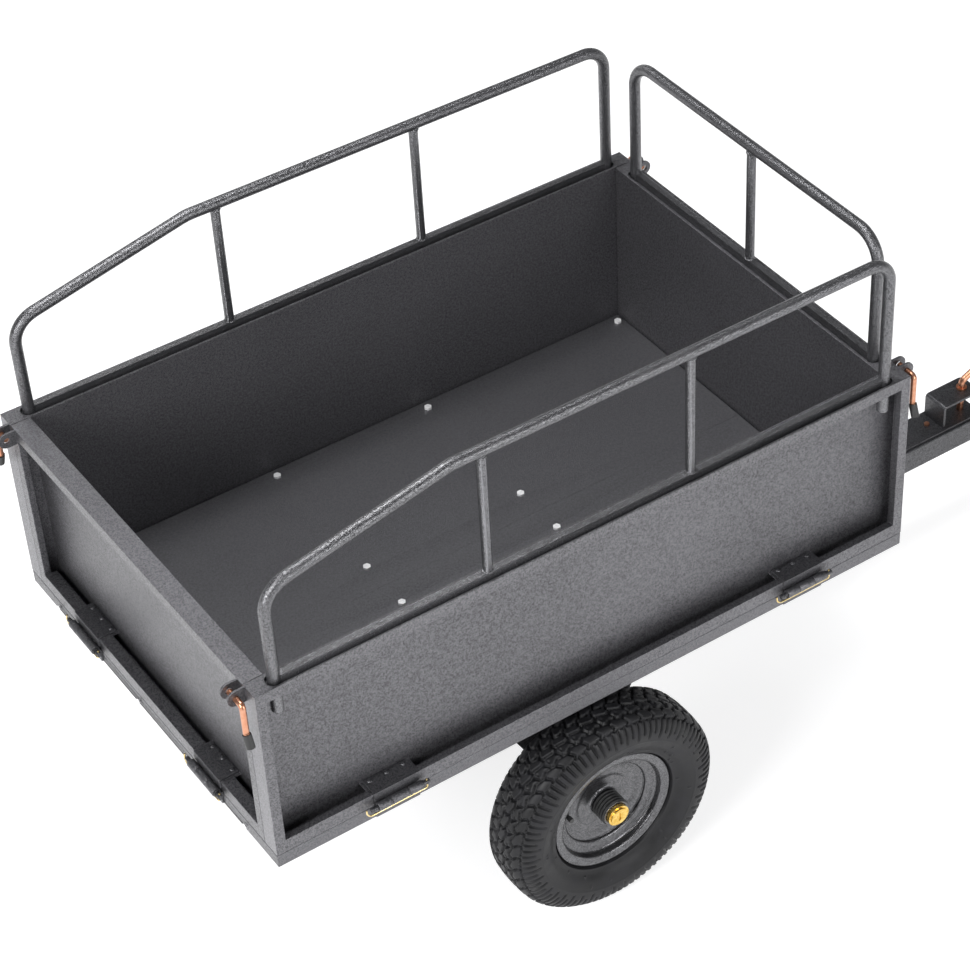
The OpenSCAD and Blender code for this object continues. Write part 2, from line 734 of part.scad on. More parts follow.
module axle_caps() color(yellow) cart() for (m = [0, 1]) mirror([0, m, 0])
    translate([axle_x, cap_y, axle_z]) rotate([-90, 0, 0]) difference() {
        union() {
            cylinder(r = cap_r, h = cap_l - 3);
            translate([0, 0, cap_l - 3 - eps]) cylinder(r = cap_r - 4, h = 3 + eps);
        }
        translate([0, 0, -1]) cylinder(r = axle_r + 0.02, h = axle_end - cap_y + 1);
        translate([-2, -8, cap_l - 2]) cube([4, 16, 3]);
    }

// spacer tubes between the outer bushes and the wheel hubs
module wheel_spacers() color(zinc) cart() for (m = [0, 1]) mirror([0, m, 0]) {
    from = outer_plate_y + plate_t + 3 + seat_gap;
    to = track / 2 - hub_half - seat_gap;
    translate([axle_x, from, axle_z]) rotate([-90, 0, 0]) difference() {
        cylinder(r = axle_r + 4, h = to - from);
        translate([0, 0, -1]) cylinder(r = axle_r + 0.02, h = to - from + 2);
    }
}

// a wheel's own frame: axis along Z, outer side up, centred on its middle plane
module at_wheel(side)
    cart() translate([axle_x, side * track / 2, axle_z])
        rotate([side > 0 ? -90 : 90, 0, 0]) children();

rim_half = rim_w / 2;
rim_t = 3;
hub_r = 24;
hub_bore = 20;
disc_z = 3;          // outer face of the disc at the hub
seat_r = rim_r - 14;
well_r = 83;

// half section of the tyre: bead, sidewall, shoulder, tread, mirrored
function ring_arc(c, r, a0, a1, n) =
    [for (i = [0:n]) c + r * [cos(a0 + (a1 - a0) * i / n), sin(a0 + (a1 - a0) * i / n)]];

module tyre_half_section() {
    half = tyre_w / 2;
    wall = 8;
    shoulder = 22;
    mid_r = (rim_r + tyre_r) / 2;
    outer = [
        [seat_r + 0.1, rim_half - rim_t - 13], [seat_r + 0.1, rim_half - rim_t - 2.2],
        [rim_r + 0.4, rim_half - rim_t - 2.2], [rim_r + 3, rim_half + 1],
        [rim_r + 12, half - 5], [mid_r - 6, half], [mid_r + 8, half]
    ];
    tread = concat(
        ring_arc([tyre_r - shoulder, half - shoulder - 4], shoulder, 70, 25, 6),
        [[tyre_r, half * 0.42], [tyre_r, 0]]
    );
    inner = [
        [tyre_r - wall - 6, 0], [tyre_r - wall - 8, half * 0.5],
        [mid_r + 8, half - wall], [mid_r - 10, half - wall],
        [rim_r + 2, rim_half - rim_t - 13]
    ];
    polygon(concat(outer, tread, inner));
}

module tyre()
    for (m = [0, 1]) mirror([0, 0, m]) rotate_extrude($fn = 128) tyre_half_section();

// valve of the inner tube, out through the step beside the drop well
valve_at = well_r + 7;
valve_turn = 200;
module valve() rotate([0, 0, valve_turn]) translate([valve_at, 0, 6]) {
    cylinder(r = 6, h = 16);
    translate([0, 0, 16 - eps]) cylinder(r = 3.5, h = 14);
    translate([0, 0, 24]) cylinder(r = 4.5, h = 8);
}

// pressed rim: lips and bead seats around a drop well, with a dished disc
module rim() {
    difference() {
        rotate_extrude($fn = 128) rim_profile();
        rotate([0, 0, valve_turn]) translate([valve_at, 0, 0])
            cylinder(r = 6.05, h = rim_half);
    }
    difference() {
        translate([0, 0, -hub_half]) cylinder(r = hub_r, h = hub_half + hub_out);
        translate([0, 0, -hub_half - 1]) cylinder(r = hub_bore, h = 2 * hub_half + 2);
    }
}

// closed outline of the rim: the outside line out, the inside line back
module rim_profile() {
    t = rim_t;
    outside = [
        [hub_r - 1, disc_z], [50, disc_z], [66, disc_z + 4], [well_r - 9, disc_z + 6],
        [well_r - t, disc_z + 10], [well_r - t, 14], [seat_r - t, 21],
        [seat_r - t, rim_half - t], [rim_r - 6, rim_half], [rim_r - 2, rim_half],
        [rim_r, rim_half - 2], [rim_r, rim_half - 5], [rim_r - 2.5, rim_half - 5],
        [rim_r - 6, rim_half - t], [seat_r, rim_half - t - 2], [seat_r, 19],
        [well_r, 12]
    ];
    back = [
        [well_r, -12], [seat_r, -19], [seat_r, -rim_half + t + 2],
        [rim_r - 6, -rim_half + t], [rim_r - 2.5, -rim_half + 5],
        [rim_r, -rim_half + 5], [rim_r, -rim_half + 2], [rim_r - 2, -rim_half],
        [rim_r - 6, -rim_half], [seat_r - t, -rim_half + t], [seat_r - t, -21],
        [well_r - t, -14], [well_r - t, disc_z + 4], [well_r - 9, disc_z + 6 - t],
        [66, disc_z + 4 - t], [50, disc_z - t], [hub_r - 1, disc_z - t]
    ];
    polygon(concat(outside, back));
}

// ball bearings pressed in both ends of the hub, with their dust rings
module bearings() for (z = [-hub_half, hub_out - 12]) translate([0, 0, z])
    difference() {
        cylinder(r = hub_bore - 0.02, h = 12);
        translate([0, 0, -1]) cylinder(r = axle_r + run_gap, h = 14);
        for (g = [-eps, 11]) translate([0, 0, g]) difference() {
            cylinder(r = hub_bore - 3, h = 1 + eps);
            cylinder(r = axle_r + 3, h = 2);
        }
    }

module left_tyre() color(black) at_wheel(1) tyre();
module right_tyre() color(black) at_wheel(-1) tyre();
module left_rim() color(paint) at_wheel(1) rim();
module right_rim() color(paint) at_wheel(-1) mirror([0, 1, 0]) rim();
module left_valve() color(black) at_wheel(1) valve();
module right_valve() color(black) at_wheel(-1) mirror([0, 1, 0]) valve();
module left_bearings() color(zinc) at_wheel(1) bearings();
module right_bearings() color(zinc) at_wheel(-1) bearings();

// ---------- tongue and hitch ----------

foot_bolt_x = [jaw_rear - 22, jaw_rear - 130];
foot_bolt_r = 3;

module tongue() color(paint) cart() difference() {
    translate([tongue_rear, -tongue_w / 2, tongue_top - tongue_h])
        cube([tongue_front - tongue_rear, tongue_w, tongue_h]);
    translate([tongue_rear - 1, -tongue_w / 2 + tongue_t, tongue_top - tongue_h + tongue_t])
        cube([tongue_front - tongue_rear + 2, tongue_w - 2 * tongue_t, tongue_h - 2 * tongue_t]);
    translate([axle_x, 0, axle_z]) rotate([90, 0, 0])
        cylinder(r = axle_r + 0.02, h = tongue_w + 2, center = true);
    translate([hitch_x, 0, tongue_top - tongue_h - 1])
        cylinder(r = hitch_r + pin_gap, h = tongue_h + 2);
    for (x = foot_bolt_x) translate([x, 0, tongue_top - tongue_h - 1])
        cylinder(r = foot_bolt_r + 0.1, h = tongue_h + 2);
    translate([axle_x, 0, tongue_top - tongue_h - 1])
        cylinder(r = bolt_r + 0.1, h = tongue_h + 2);
}

// foot plate on the tongue with a riser and an upper jaw bent from one strip
module hitch_bracket() color(paint) cart() {
    foot_top = tongue_top + jaw_t;
    round_r = 10;
    difference() {
        union() {
            translate([jaw_rear - jaw_base, -foot_w / 2, tongue_top])
                cube([tongue_front - 3 - jaw_rear + jaw_base, foot_w, jaw_t]);
            translate([jaw_rear - jaw_t, -jaw_w / 2, foot_top - eps])
                cube([jaw_t, jaw_w, jaw_h + jaw_t]);
            translate([jaw_rear - jaw_t, -jaw_w / 2, jaw_top - jaw_t])
                cube([jaw_front - jaw_rear + jaw_t - round_r, jaw_w, jaw_t]);
            translate([jaw_front - round_r - eps, -jaw_w / 2 + round_r, jaw_top - jaw_t])
                cube([round_r, jaw_w - 2 * round_r, jaw_t]);
            for (s = [-1, 1])
                translate([jaw_front - round_r, s * (jaw_w / 2 - round_r), jaw_top - jaw_t])
                    cylinder(r = round_r, h = jaw_t);
        }
        translate([hitch_x, 0, tongue_top - 1])
            cylinder(r = hitch_r + pin_gap, h = jaw_top - tongue_top + 2);
        for (x = foot_bolt_x) translate([x, 0, tongue_top - 1])
            cylinder(r = foot_bolt_r + 0.1, h = jaw_t + 2);
        translate([jaw_rear - jaw_t, 0, jaw_top]) rotate([90, 0, 0]) difference() {
            cube([14, 14, jaw_w + 2], center = true);
            translate([7, -7, 0]) cylinder(r = 7, h = jaw_w + 4, center = true);
        }
    }
}

// bolts of the hitch bracket's foot, and the bolt that fixes the axle in the tongue
module chassis_bolts() color(copper) cart() {
    for (x = foot_bolt_x) translate([x, 0, tongue_top + jaw_t])
        bolt(tongue_h + jaw_t, foot_bolt_r, 5.5);
    translate([axle_x, 0, tongue_top]) bolt(tongue_h);
}

// drop pin with a collar and a handle bent forwards
module hitch_pin() color(copper) cart() translate([hitch_x, 0, 0]) {
    tip = tongue_top - tongue_h - 12;
    collar = jaw_top + seat_gap;
    bend_z = collar + 8;
    lean = 90 - handle_rise;
    elbow = [handle_bend * (1 - cos(lean)), bend_z + handle_bend * sin(lean)];
    far = [handle_reach, elbow[1] + (handle_reach - elbow[0]) * tan(handle_rise)];
    along = [cos(handle_rise), sin(handle_rise)];
    rod_xz([0, tip], [0, bend_z + lap], hitch_r);
    translate([0, 0, collar]) cylinder(r = hitch_r + 4, h = 4);
    bend_xz([handle_bend, bend_z], handle_bend, 180 - lean, lean, hitch_r + bend_swell);
    rod_xz(elbow - lap * along, far, hitch_r);
}

// ---------- tilt lock ----------

// post on the tongue that carries the bed's front, with two ears for the lock pin
module lock_post() color(paint) cart() {
    top = -lock_drop - seat_gap;
    difference() {
        translate([lock_x - 20, -20, tongue_top]) cube([40, 40, top - tongue_top]);
        translate([lock_x - 17, -17, tongue_top - 1]) cube([34, 34, top - tongue_top - 2]);
    }
    for (m = [0, 1]) mirror([0, m, 0]) difference() {
        translate([lock_x - 13, ear_y, top - eps]) cube([26, ear_t, -top - 3]);
        translate([lock_x, ear_y - 1, lock_z]) rotate([-90, 0, 0])
            cylinder(r = lock_r + pin_gap, h = ear_t + 2);
    }
}

// tab under the web of the bed's front cross member
module lock_tab() color(paint) cart() difference() {
    translate([lock_x - 13, -lock_tab_t / 2, -lock_drop])
        cube([26, lock_tab_t, lock_drop + cross_top - frame_t]);
    translate([lock_x, -lock_tab_t, lock_z]) rotate([-90, 0, 0])
        cylinder(r = lock_r + pin_gap, h = 2 * lock_tab_t);
}

module lock_pin() color(copper) cart() translate([lock_x, 0, 0]) rotate([0, 0, -90]) {
    turn = 10;
    rod_xz([lock_tip_y, lock_z], [lock_bend_y - turn, lock_z], lock_r);
    bend_xz([lock_bend_y - turn, lock_z - turn], turn, 0, 90, lock_r);
    rod_xz([lock_bend_y, lock_z - turn], [lock_bend_y, lock_z - 90], lock_r);
}

tongue();
axle();
chassis_bolts();
hitch_bracket();
lock_post();
wheel_spacers();
axle_caps();
base_frame();
cross_members();
floor_left();
floor_right();
outer_axle_brackets();
inner_axle_brackets();
axle_bushes();
floor_bolts();
frame_bolts();
lock_tab();
bed_hinge_leaves();
hinge_pins();
hinge_pin_clips();
left_panel();
left_hinge_leaves();
left_rivets();
left_latch_tabs();
right_panel();
right_hinge_leaves();
right_rivets();
right_latch_tabs();
tailgate();
tailgate_hinge_leaves();
tailgate_rivets();
tailgate_latch_tabs();
front_panel();
front_hinge_leaves();
front_rivets();
front_latch_tabs();
left_rail_hoop();
left_rail_struts();
right_rail_hoop();
right_rail_struts();
front_rail_hoop();
front_rail_struts();
left_tyre();
left_rim();
left_valve();
left_bearings();
right_tyre();
right_rim();
right_valve();
right_bearings();
latch_pin_rear_left();
latch_grip_rear_left();
latch_pin_rear_right();
latch_grip_rear_right();
latch_pin_front_left();
latch_grip_front_left();
latch_pin_front_right();
latch_grip_front_right();
hitch_pin();
lock_pin();
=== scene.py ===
import math
import random

import bmesh
import bpy
import numpy as np
from mathutils import Matrix, Vector


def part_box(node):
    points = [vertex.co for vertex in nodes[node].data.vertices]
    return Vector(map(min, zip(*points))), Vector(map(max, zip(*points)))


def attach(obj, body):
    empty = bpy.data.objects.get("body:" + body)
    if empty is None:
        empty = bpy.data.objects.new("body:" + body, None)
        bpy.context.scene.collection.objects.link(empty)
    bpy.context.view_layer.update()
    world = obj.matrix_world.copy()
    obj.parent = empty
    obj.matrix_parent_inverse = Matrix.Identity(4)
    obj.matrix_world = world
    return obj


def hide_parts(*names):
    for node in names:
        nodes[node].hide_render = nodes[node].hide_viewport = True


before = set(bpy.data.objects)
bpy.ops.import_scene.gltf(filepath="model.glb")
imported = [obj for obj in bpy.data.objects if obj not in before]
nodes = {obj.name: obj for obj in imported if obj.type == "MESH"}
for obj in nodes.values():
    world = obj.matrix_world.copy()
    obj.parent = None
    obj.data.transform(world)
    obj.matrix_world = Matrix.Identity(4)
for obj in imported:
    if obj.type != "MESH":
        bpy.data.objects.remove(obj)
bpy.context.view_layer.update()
scene = bpy.context.scene
random.seed(7)

# ---------------------------------------------------------------- reference points
lo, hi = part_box("base_frame")
BED_X = (lo[0] + hi[0]) / 2          # bed centre
BED_Z = lo[2]                        # bottom of the base frame
TOP_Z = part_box("right_panel")[1][2]  # top of the drop sides
HUB_R = 0.024                        # outside radius of a wheel hub
BAR_TOP = TOP_Z + 0.008              # top of the rails' lower bars
RIM_W = 0.072                        # width over a rim's lips


# ---------------------------------------------------------------- node helpers
class Graph:
    """Short way to build a material's node tree."""

    def __init__(self, name):
        self.mat = bpy.data.materials.new(name)
        self.mat.use_nodes = True
        self.tree = self.mat.node_tree
        self.tree.nodes.clear()
        self.out = self.add("ShaderNodeOutputMaterial")
        self.bsdf = self.add("ShaderNodeBsdfPrincipled")
        self.link(self.bsdf, "BSDF", self.out, "Surface")
        coord = self.add("ShaderNodeTexCoord")
        self.coord = coord.outputs["Object"]

    def add(self, kind, **props):
        n = self.tree.nodes.new(kind)
        for k, v in props.items():
            setattr(n, k, v)
        return n

    def link(self, a, a_out, b, b_in):
        self.tree.links.new(a.outputs[a_out], b.inputs[b_in])

    def wire(self, socket, b, b_in):
        self.tree.links.new(socket, b.inputs[b_in])

    def noise(self, scale, detail=4.0, rough=0.55, stretch=None):
        n = self.add("ShaderNodeTexNoise")
        n.inputs["Scale"].default_value = scale
        n.inputs["Detail"].default_value = detail
        n.inputs["Roughness"].default_value = rough
        self.place(n, stretch)
        return n.outputs["Fac"]

    def cells(self, scale, feature="F1", smooth=None, stretch=None):
        n = self.add("ShaderNodeTexVoronoi", feature=feature)
        n.inputs["Scale"].default_value = scale
        if smooth is not None:
            n.inputs["Smoothness"].default_value = smooth
        self.place(n, stretch)
        return n

    def place(self, n, stretch):
        if stretch:
            m = self.add("ShaderNodeMapping")
            m.inputs["Scale"].default_value = stretch
            self.wire(self.coord, m, "Vector")
            self.link(m, "Vector", n, "Vector")
        else:
            self.wire(self.coord, n, "Vector")

    def ramp(self, socket, stops, interp="EASE"):
        n = self.add("ShaderNodeValToRGB")
        n.color_ramp.interpolation = interp
        el = n.color_ramp.elements
        while len(el) < len(stops):
            el.new(0.5)
        for e, (pos, c) in zip(el, stops):
            e.position = pos
            e.color = (c, c, c, 1) if isinstance(c, (int, float)) else (*c, 1)
        self.wire(socket, n, "Fac")
        return n.outputs["Color"]

    def mix(self, fac, a, b, mode="MIX"):
        n = self.add("ShaderNodeMix", data_type="RGBA", blend_type=mode)
        for sock, v in (("Factor", fac), ("A", a), ("B", b)):
            idx = {"Factor": 0, "A": 6, "B": 7}[sock]
            if isinstance(v, bpy.types.NodeSocket):
                self.tree.links.new(v, n.inputs[idx])
            elif isinstance(v, (int, float)):
                n.inputs[idx].default_value = v
            else:
                n.inputs[idx].default_value = (*v, 1)
        return n.outputs[2]

    def math(self, op, a, b=None, clamp=False):
        n = self.add("ShaderNodeMath", operation=op, use_clamp=clamp)
        for i, v in enumerate((a, b)):
            if isinstance(v, bpy.types.NodeSocket):
                self.tree.links.new(v, n.inputs[i])
            elif v is not None:
                n.inputs[i].default_value = v
        return n.outputs[0]

    def bump(self, height, strength, distance, under=None):
        n = self.add("ShaderNodeBump")
        n.inputs["Strength"].default_value = strength
        n.inputs["Distance"].default_value = distance
        self.wire(height, n, "Height")
        if under is not None:
            self.wire(under, n, "Normal")
        return n.outputs["Normal"]

    def edge_wear(self, lo_, hi_):
        geo = self.add("ShaderNodeNewGeometry")
        return self.ramp(geo.outputs["Pointiness"], [(lo_, 0.0), (hi_, 1.0)])

    def set(self, **values):
        for k, v in values.items():
            sock = self.bsdf.inputs[k.replace("_", " ")]
            if isinstance(v, bpy.types.NodeSocket):
                self.tree.links.new(v, sock)
            elif isinstance(v, tuple) and len(v) == 3:
                sock.default_value = (*v, 1)
            else:
                sock.default_value = v


def hammertone(name, dark, light, cell, bump, rough, metal):
    """Hammered stove paint: fine aluminium flake in dark grey, drawn into small dimples."""
    g = Graph(name)
    warp = g.noise(cell * 0.45, 3)
    pits = g.cells(cell, "SMOOTH_F1", 0.7)
    grain = g.noise(cell * 2.3, 2, 0.6)
    flake = g.cells(cell * 2.1)
    soft = g.ramp(pits.outputs["Distance"], [(0.08, 0.0), (0.62, 1.0)])
    tone = g.mix(0.45, soft, g.ramp(grain, [(0.35, 0.0), (0.68, 1.0)]))
    tone = g.mix(0.3, tone, g.ramp(flake.outputs["Color"], [(0.2, 0.0), (0.85, 1.0)]))
    tone = g.mix(0.25, tone, g.ramp(warp, [(0.3, 0.0), (0.7, 1.0)]))
    col = g.mix(g.ramp(tone, [(0.18, 0.0), (0.82, 1.0)]), dark, light)
    dust = g.ramp(g.noise(3.1, 5), [(0.42, 0.0), (0.75, 1.0)])
    col = g.mix(g.math("MULTIPLY", dust, 0.10), col, tuple(min(1, c * 1.7) for c in light))
    worn = g.edge_wear(0.53, 0.62)
    col = g.mix(g.math("MULTIPLY", worn, 0.35), col, tuple(min(1, c * 2.2) for c in light))
    dimples = g.ramp(pits.outputs["Distance"], [(0.0, 0.0), (0.7, 1.0)])
    height = g.mix(0.5, dimples, g.ramp(grain, [(0.3, 0), (0.7, 1)]))
    n = g.bump(height, bump, 0.0006)
    g.set(Base_Color=col, Metallic=metal, Normal=n,
          Roughness=g.ramp(tone, [(0.0, rough[1]), (1.0, rough[0])]))
    g.bsdf.inputs["Coat Weight"].default_value = 0.25
    g.bsdf.inputs["Coat Roughness"].default_value = 0.25
    return g.mat


def plated(name, base, tint, rough, spread=0.12):
    """Zinc or coloured zinc plating, a little uneven, dulled in places."""
    g = Graph(name)
    cloud = g.noise(160, 5)
    fine = g.noise(900, 3)
    col = g.mix(g.ramp(cloud, [(0.35, 0.0), (0.68, 1.0)]), base, tint)
    worn = g.edge_wear(0.52, 0.6)
    col = g.mix(g.math("MULTIPLY", worn, 0.5), col, tuple(min(1, c * 1.25) for c in base))
    g.set(Base_Color=col, Metallic=1.0,
          Roughness=g.ramp(cloud, [(0.3, rough), (0.75, rough + spread)]),
          Normal=g.bump(fine, 0.12, 0.0003))
    return g.mat


def turned(name):
    """Bare turned steel with fine rings and a little rust."""
    g = Graph(name)
    rings = g.noise(700, 3, stretch=(1, 0.05, 1))
    rust = g.ramp(g.noise(60, 6), [(0.58, 0.0), (0.78, 1.0)])
    col = g.mix(g.math("MULTIPLY", rust, 0.35), (0.42, 0.42, 0.43), (0.19, 0.13, 0.09))
    g.set(Base_Color=col, Metallic=1.0, Roughness=g.ramp(rings, [(0.3, 0.25), (0.7, 0.42)]),
          Normal=g.bump(rings, 0.15, 0.0003))
    return g.mat


def rubber(name, dark, dusty, rough, grain=900, bump=0.25):
    """Moulded rubber, dusty in clouds and on its edges."""
    g = Graph(name)
    cloud = g.noise(38, 6)
    fine = g.noise(grain, 3, 0.6)
    col = g.mix(g.ramp(cloud, [(0.38, 0.0), (0.72, 1.0)]), dark, dusty)
    worn = g.edge_wear(0.52, 0.58)
    col = g.mix(g.math("MULTIPLY", worn, 0.45), col, tuple(c * 1.9 for c in dusty))
    g.set(Base_Color=col, Metallic=0.0,
          Roughness=g.ramp(cloud, [(0.3, rough - 0.08), (0.75, rough + 0.12)]),
          Normal=g.bump(fine, bump, 0.0004))
    g.bsdf.inputs["Specular IOR Level"].default_value = 0.32
    return g.mat


# name, dark and light colour, dimples per metre, depth of the dimples, roughness, metal
paint_panel = hammertone("panel_paint", (0.034, 0.0335, 0.037), (0.185, 0.183, 0.196),
                         560, 0.7, (0.30, 0.46), 0.78)
# the floor's paint is the panel paint at about half brightness: painted shade over the bed floor, not a
# different paint
paint_floor_shaded = hammertone("floor_paint_painted_shade", (0.017, 0.0168, 0.0185), (0.090, 0.0895, 0.096),
                         560, 0.6, (0.34, 0.5), 0.72)
paint_frame = hammertone("frame_paint", (0.026, 0.026, 0.029), (0.14, 0.139, 0.149),
                         600, 0.55, (0.30, 0.48), 0.74)
paint_chassis = hammertone("chassis_paint", (0.014, 0.014, 0.016), (0.085, 0.085, 0.092),
                           430, 0.6, (0.26, 0.42), 0.7)
paint_rail = hammertone("rail_paint", (0.018, 0.018, 0.020), (0.19, 0.19, 0.20),
                        560, 0.5, (0.18, 0.30), 0.8)
paint_rim = hammertone("rim_paint", (0.020, 0.020, 0.022), (0.17, 0.17, 0.178),
                       620, 0.3, (0.14, 0.28), 0.84)
zinc = plated("bright_zinc", (0.72, 0.72, 0.73), (0.86, 0.86, 0.86), 0.22)
bolt_zinc = plated("bolt_zinc", (0.74, 0.74, 0.75), (0.9, 0.9, 0.9), 0.4)
bolt_zinc.node_tree.nodes["Principled BSDF"].inputs["Metallic"].default_value = 0.25
copper = plated("copper_zinc", (0.55, 0.25, 0.15), (0.62, 0.33, 0.22), 0.3)
yellow = plated("yellow_zinc", (0.66, 0.5, 0.2), (0.82, 0.68, 0.4), 0.25)
brass = plated("brass_cap", (0.68, 0.42, 0.08), (0.85, 0.62, 0.2), 0.22)
steel = turned("axle_steel")
tyre_mat = rubber("tyre_rubber", (0.0065, 0.0065, 0.0075), (0.014, 0.014, 0.0165), 0.5)
black = rubber("grip_rubber", (0.012, 0.012, 0.013), (0.03, 0.03, 0.03), 0.45, 1500, 0.15)

LOOK = {}
for n in nodes:
    if n.endswith("tyre"):
        LOOK[n] = tyre_mat
    elif n.endswith("rim"):
        LOOK[n] = paint_rim
    elif n.endswith("valve") or n == "axle_bushes" or n.startswith("latch_grip"):
        LOOK[n] = black
    elif n.endswith("bearings") or n == "frame_bolts":
        LOOK[n] = zinc
    elif n == "floor_bolts":
        LOOK[n] = bolt_zinc
    elif n == "hinge_pins" or n.endswith("rivets") or n in ("tongue", "hitch_bracket", "lock_post"):
        LOOK[n] = paint_chassis
    elif n in ("axle", "wheel_spacers"):
        LOOK[n] = steel
    elif n == "axle_caps":
        LOOK[n] = brass
    elif n == "hinge_pin_clips":
        LOOK[n] = yellow
    elif n in ("hitch_pin", "lock_pin", "chassis_bolts") or n.startswith("latch_pin"):
        LOOK[n] = copper
    elif "rail" in n:
        LOOK[n] = paint_rail
    elif n.startswith("floor"):
        LOOK[n] = paint_floor_shaded
    elif n.endswith("panel") or n == "tailgate":
        LOOK[n] = paint_panel
    else:
        LOOK[n] = paint_frame

# widths of the soft edges put on the folded and cut metal, in metres
SOFT = {name: width for width, names in (
    (0.004, "tongue"),
    (0.003, "lock_post"),
    (0.002, "cross_members"),
    (0.0016, "left_panel right_panel tailgate front_panel base_frame"),
    (0.0012, "hitch_bracket axle_caps left_rail_struts right_rail_struts front_rail_struts"),
    (0.0006, "bed_hinge_leaves left_hinge_leaves right_hinge_leaves tailgate_hinge_leaves"),
    (0.0006, "front_hinge_leaves floor_bolts chassis_bolts left_rim right_rim"),
    (0.0006, "outer_axle_brackets inner_axle_brackets"),
    (0.0005, "frame_bolts left_latch_tabs right_latch_tabs tailgate_latch_tabs front_latch_tabs"),
) for name in names.split()}

for n, ob in nodes.items():
    for s in ob.material_slots:
        s.material = LOOK[n]
    if not ob.material_slots:
        ob.data.materials.append(LOOK[n])
    if n in SOFT:
        weld = ob.modifiers.new("weld", "WELD")
        weld.merge_threshold = 1e-6
        b = ob.modifiers.new("soft_edges", "BEVEL")
        b.width = SOFT[n]
        b.segments = 2
        b.limit_method = "ANGLE"
        b.angle_limit = math.radians(38)
        b.use_clamp_overlap = True
        b.harden_normals = True


# ---------------------------------------------------------------- mesh helpers
def face_outwards(ob):
    bm = bmesh.new()
    bm.from_mesh(ob.data)
    bmesh.ops.recalc_face_normals(bm, faces=bm.faces)
    bm.to_mesh(ob.data)
    bm.free()


def new_piece(name, verts, faces, mat, body, smooth=True):
    me = bpy.data.meshes.new(name)
    me.from_pydata([tuple(v) for v in verts], [], faces)
    me.validate()
    me.update()
    ob = bpy.data.objects.new(name, me)
    scene.collection.objects.link(ob)
    me.materials.append(mat)
    if smooth:
        me.polygons.foreach_set("use_smooth", [True] * len(me.polygons))
    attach(ob, body)
    return ob


# ---------------------------------------------------------------- tyres
def smoothstep(e0, e1, x):
    t = np.clip((x - e0) / (e1 - e0), 0, 1)
    return t * t * (3 - 2 * t)


def tri(x):
    """Triangle wave between -1 and 1, once for each whole number."""
    return 2 * np.abs(2 * (x - np.floor(x + 0.5))) - 1


def tyre_profile(outer_r, width, rim_r, rim_w):
    """Outer line of the section, from one bead over the tread to the other: (z, r)."""
    h = width / 2
    keys = [
        (rim_w / 2 - 0.0058, rim_r - 0.011), (rim_w / 2 - 0.0056, rim_r - 0.002),
        (rim_w / 2 - 0.004, rim_r + 0.0012), (rim_w / 2 + 0.002, rim_r + 0.004), (h - 0.0135, rim_r + 0.012),
        (h - 0.006, rim_r + 0.023), (h - 0.0012, rim_r + 0.036), (h, rim_r + 0.047),
        (h - 0.0012, rim_r + 0.058), (h - 0.0055, rim_r + 0.069), (h - 0.0125, rim_r + 0.0775),
        (h - 0.021, outer_r - 0.0032), (h - 0.031, outer_r - 0.0012), (0.010, outer_r),
    ]
    return catmull(keys, 7)


def catmull(pts, steps):
    """Smooth line through the points, with steps pieces between each two."""
    p = [Vector((a, b)) for a, b in pts]
    p = [p[0] * 2 - p[1]] + p + [p[-1] * 2 - p[-2]]
    out = []
    for i in range(1, len(p) - 2):
        for s in range(steps):
            t = s / steps
            a, b, c, d = p[i - 1], p[i], p[i + 1], p[i + 2]
            v = 0.5 * ((2 * b) + (c - a) * t + (2 * a - 5 * b + 4 * c - d) * t * t
                       + (3 * b - a - 3 * c + d) * t ** 3)
            out.append((v.x, v.y))
    out.append((p[-2].x, p[-2].y))
    return out


